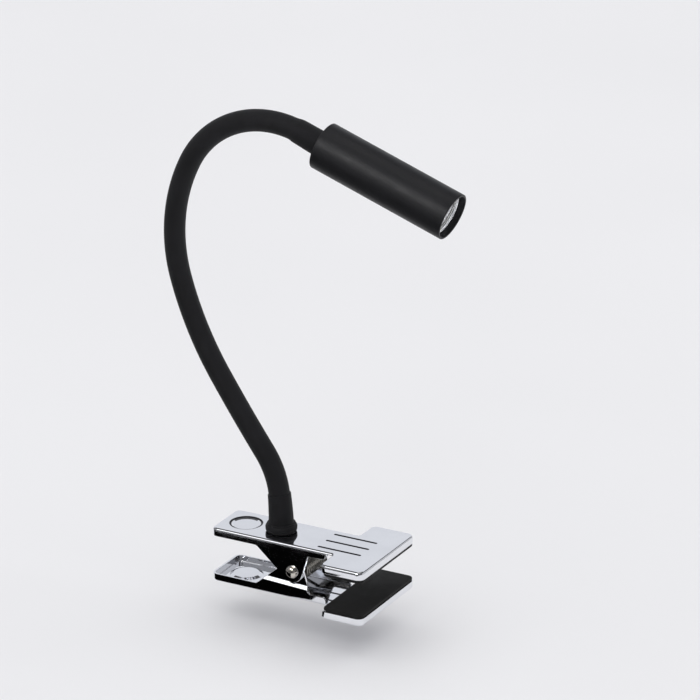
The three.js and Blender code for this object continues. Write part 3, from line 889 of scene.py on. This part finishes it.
def make_neck():
    hinges = [FIRST_HINGE + HINGE_PITCH * i for i in range(HINGES)]
    middles = [(a + b) / 2 for a, b in zip(hinges, hinges[1:])]
    stops = [BOOT_TOP - 0.4] + middles + [NECK_LENGTH - 0.1]
    reach = 15.5
    step = 1.5
    for i, hinge in enumerate(hinges):
        first, last = stops[i], stops[i + 1]
        count = max(2, round((last - first) / step))
        alongs = [first + (last - first) * k / count for k in range(count + 1)]
        profile = [(sleeve_radius(s), s) for s in alongs]
        profile += [(SLEEVE_BORE, s) for s in reversed(alongs[::3] + [alongs[-1]])]
        piece = turned(f"neck_sleeve_{i + 1}", profile, on_neck, 56)
        nodes = ["sleeve_base" if i == 0 else f"sleeve_{i}"]
        if i == HINGES - 1:
            nodes.append("sleeve_top")
        finish_piece(piece, SILICONE, None, nodes)
        start = neck_point(max(hinge - reach, first + 2))
        end = neck_point(hinge + reach)
        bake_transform(piece)


# ------------------------------------------------------------------ head


def make_head():
    radius, bore, length = HEAD_RADIUS, HEAD_BORE, HEAD_LENGTH
    edge = 0.45
    shell = [(4.3, 0)] + arc(radius - edge, edge, edge, -90, 0, 5)
    shell += [(radius, length * k / 10) for k in range(1, 10)]
    shell += arc(radius - edge, length - edge, edge, 0, 90, 5)
    shell += arc(bore + 0.2, length - 0.2, 0.2, 90, 180, 3)
    shell += [(bore, 60), (bore, 2), (4.3, 2)]
    piece = turned("head_housing_turned", shell, on_head, 128)
    finish_piece(piece, POWDER_COAT, "head", ["head_housing"])

    ring = [(11.0, 77.3), (11.7, 77.3), (11.7, 78.1)] + arc(11.4, 78.1, 0.3, 0, 90, 4)
    ring += [(11.0, 78.3)]
    piece = turned("retaining_ring_turned", ring, on_head, 96)
    finish_piece(piece, MIRROR, "head", ["retaining_ring"])

    lens = [(0, 76), (11.5, 76), (11.7, 76.2), (11.7, 76.8), (11.5, 77), (0, 77)]
    piece = turned("lens_disc", lens, on_head, 96)
    piece.data.materials.append(GLASS)
    piece.data.materials.append(BOARD)
    axis = on_head(0, 1, 0) - on_head(0, 0, 0)
    for face in piece.data.polygons:
        if abs(face.normal.dot(axis)) < 0.5:
            face.material_index = 1
    finish_piece(piece, GLASS, "head", ["lens"])

    make_reflector()
    make_led()


def make_reflector():
    """A faceted bowl: flat panes in staggered rows, with a plain bright flange."""
    high = 75.7
    profile = [(2.9, 60.0), (3.7, 63.6), (5.0, 67.0), (6.6, 69.8)]
    profile += [(8.2, 72.0), (9.7, 73.9), (10.9, high)]
    panes, rows, wall = 18, len(profile) - 1, 0.6
    bm = bmesh.new()

    def ring(radius, along, turn=0.0):
        angles = [TAU * (k + turn) / panes for k in range(panes)]
        return [bm.verts.new(on_head(radius, along, angle)) for angle in angles]

    rings = []
    for row, (radius, along) in enumerate(profile):
        rings.append(ring(radius, along, 0.5 * (row % 2)))
    for row in range(rows):
        low_ring, high_ring = rings[row], rings[row + 1]
        for k in range(panes):
            n = (k + 1) % panes
            if row % 2 == 0:
                bm.faces.new((low_ring[k], low_ring[n], high_ring[k]))
                bm.faces.new((high_ring[k], low_ring[n], high_ring[n]))
            else:
                bm.faces.new((low_ring[k], high_ring[n], high_ring[k]))
                bm.faces.new((low_ring[k], low_ring[n], high_ring[n]))
    flange = []
    for radius, along in ((11.7, high), (11.7, high - wall), (11.5, high - wall)):
        flange.append(ring(radius, along))
    back = []
    for row in range(rows, -1, -1):
        radius, along = profile[row]
        back.append(ring(radius + wall, along - wall * (row > 0)))
    shell = [rings[-1]] + flange + back[1:] + [rings[0]]
    for first, second in zip(shell, shell[1:]):
        for k in range(panes):
            n = (k + 1) % panes
            bm.faces.new((first[k], first[n], second[n], second[k]))
    piece = link("reflector_faceted", bm, math.radians(1))
    finish_piece(piece, MIRROR, "head", ["reflector"])


def make_led():
    dome = [(1.75, 59.5), (1.75, 60.3)] + arc(0, 60.3, 1.5, 0, 90, 8)
    dome[-1] = (0, dome[-1][1])
    piece = turned("led_dome", [(0, 59.5)] + dome, on_head, 40)
    finish_piece(piece, PHOSPHOR, "head", ["led_chip"])


# ------------------------------------------------------------------ carried-over nodes

KEPT = {
    "collar_nut": ZINC,
    "head_nut": ZINC,
    "end_ferrule": BRASS,
    "head_entry_tube": BRASS,
    "heat_sink": ALUMINIUM,
    "led_board": BOARD,
}
for label in ["base", "top"] + [str(i) for i in range(1, HINGES)]:
    KEPT["core_" + label] = ZINC
    KEPT["lead_" + label] = LEAD


def refinish_kept_nodes():
    for name, material in KEPT.items():
        node = frame["nodes"][name]
        for slot in node.material_slots:
            slot.material = material


# ------------------------------------------------------------------ studio

AZIMUTH, ELEVATION = math.radians(28.556), math.radians(21.125)
BACK = Vector(
    (
        math.sin(AZIMUTH) * math.cos(ELEVATION),
        -math.cos(AZIMUTH) * math.cos(ELEVATION),
        math.sin(ELEVATION),
    )
)
RIGHT = Vector((math.cos(AZIMUTH), math.sin(AZIMUTH), 0))
UP = BACK.cross(RIGHT)


def look(thing, place, target):
    thing.location = place
    thing.rotation_euler = (target - place).to_track_quat("-Z", "Y").to_euler()


def make_camera():
    """A long lens, looking past the foot of the neck at the middle of the lamp."""
    foot = Vector((NECK_X, 0, PLATE_TOP)) * MM
    distance = 2.42
    target = foot + RIGHT * 0.0377 + UP * 0.0992
    data = bpy.data.cameras.new("camera")
    data.sensor_width = 36
    data.lens = 226.3
    data.clip_end = 20
    camera = bpy.data.objects.new("camera", data)
    bpy.context.scene.collection.objects.link(camera)
    look(camera, target + BACK * distance, target)
    bpy.context.scene.camera = camera


def area_light(name, place, target, size, energy, colour=(1, 1, 1)):
    data = bpy.data.lights.new(name, "AREA")
    data.shape = "RECTANGLE"
    data.size, data.size_y = size
    data.energy = energy
    data.color = colour
    light = bpy.data.objects.new(name, data)
    bpy.context.scene.collection.objects.link(light)
    light.visible_camera = False
    look(light, Vector(place), Vector(target))
    return light


def flat_card(name, corners, material):
    mesh = bpy.data.meshes.new(name)
    mesh.from_pydata(corners, [], [(0, 1, 2, 3)])
    card = bpy.data.objects.new(name, mesh)
    card.data.materials.append(material)
    bpy.context.scene.collection.objects.link(card)
    return card


def level_card(name, low, high, z, material):
    corners = [(low[0], low[1], z), (high[0], low[1], z), (high[0], high[1], z), (low[0], high[1], z)]
    return flat_card(name, corners, material)


def unseen(card):
    """A studio card that only shows in reflections."""
    card.visible_camera = False
    card.visible_diffuse = False
    card.visible_shadow = False
    card.visible_transmission = False


def upright_card(name, direction, distance, low, high, half_width, material):
    """A card that stands across a direction, between two elevations in degrees."""
    ahead = Vector((direction[0], direction[1], 0)).normalized()
    across = Vector((-ahead.y, ahead.x, 0))
    foot = ahead * distance
    corners = []
    for side, level in ((-1, low), (1, low), (1, high), (-1, high)):
        rise = Vector((0, 0, distance * math.tan(math.radians(level))))
        corners.append(foot + across * half_width * side + rise)
    card = flat_card(name, corners, material)
    unseen(card)
    return card


def glow(name, colour, strength):
    material, shader = new_material(name, (0, 0, 0), 1)
    shader.inputs["Emission Color"].default_value = (*colour, 1)
    wash = texture(material, "ShaderNodeTexNoise", 1.2, Detail=1.0)
    spread(material, wash, shader.inputs["Emission Strength"], 0.94 * strength, strength)
    return material


def make_studio():
    scene = bpy.context.scene
    scene.view_settings.view_transform = "Standard"
    jaw_swing = 0.0202  # how far the opened jaw reaches below its place at rest
    floor_z = CAD_BOX[0][2] - jaw_swing
    pale, shader = new_material("pale_floor", (0.80, 0.80, 0.82), 0.9)
    wash = texture(pale, "ShaderNodeTexNoise", 3, Detail=2.0)
    tint(pale, wash, shader, (0.79, 0.79, 0.81), (0.81, 0.81, 0.83))
    shader.inputs["Specular IOR Level"].default_value = 0.1
    size = 6.0
    level_card("floor", (-size, -size), (size, size), floor_z, pale)
    dark, shader = new_material("flag_black", (0.001, 0.001, 0.001), 0.9)
    shader.inputs["Specular IOR Level"].default_value = 0
    flag_z = floor_z + 0.0004  # just clear of the floor
    near, right = -0.016, NECK_X * MM + 0.004
    unseen(level_card("flag_left", (-1.4, -0.122), (right, near), flag_z, dark))
    unseen(level_card("flag_front", (-1.4, -1.3), (0.25, -0.145), flag_z, dark))
    ceiling_glow = glow("ceiling_glow", (1, 1, 1), 1.0)
    unseen(level_card("ceiling_card", (-0.35, -0.25), (0.35, 0.45), 1.2, ceiling_glow))
    away = (-math.sin(AZIMUTH), math.cos(AZIMUTH))
    upright_card("back_card", away, 2.2, 0, 42, 2.0, glow("back_glow", (0.93, 0.95, 1.0), 0.84))
    cool = (0.95, 0.96, 1.0)
    right_glow = glow("right_glow", cool, 0.6)
    left_glow = glow("left_glow", cool, 0.3)
    upright_card("right_card", RIGHT, 2.3, 2, 40, 1.6, right_glow)
    upright_card("left_card", -RIGHT, 2.3, 8, 40, 1.6, left_glow)
    front_glow = glow("front_glow", cool, 0.22)
    upright_card("front_card", (-away[0], -away[1]), 2.4, 8, 32, 1.6, front_glow)

    backdrops, far = 8, 3.4
    for k in range(backdrops):
        direction = (math.cos(TAU * k / backdrops), math.sin(TAU * k / backdrops))
        backdrop_glow = glow(f"backdrop_glow_{k}", (0.97, 0.97, 1.0), 0.72)
        backdrop = upright_card(f"backdrop_{k}", direction, far, -2, 60, 1.5, backdrop_glow)
        backdrop.visible_camera = True
        backdrop.visible_glossy = False

    world = bpy.data.worlds.new("studio")
    scene.world = world
    world.use_nodes = True
    sky = world.node_tree.nodes["Background"]
    sky.inputs["Color"].default_value = (0.80, 0.80, 0.83, 1)
    sky.inputs["Strength"].default_value = 0.12

    ceiling = area_light("ceiling", (0.0, 0.0, 3.4), (0.0, 0.0, 0.0), (11.0, 11.0), 480)
    ceiling.visible_glossy = False
    front = area_light("front", (-0.25, -1.5, 1.2), (-0.03, 0, 0.2), (1.0, 0.6), 13)
    front.visible_diffuse = False
    key = area_light("key", (-0.72, -0.8, 1.15), (-0.05, 0, 0), (0.55, 0.55), 1.5)
    key.visible_diffuse = False
    fill = area_light("mouth_fill", (0.75, -0.35, 0.1), (0.05, 0, 0.2), (0.35, 0.35), 0.14)
    fill.data.spread = math.radians(20)
    fill.visible_glossy = False


# ------------------------------------------------------------------ the lamp

make_camera()
make_clamp()
make_pivot()
make_spring()
make_foot()
make_neck()
make_head()
refinish_kept_nodes()
make_studio()
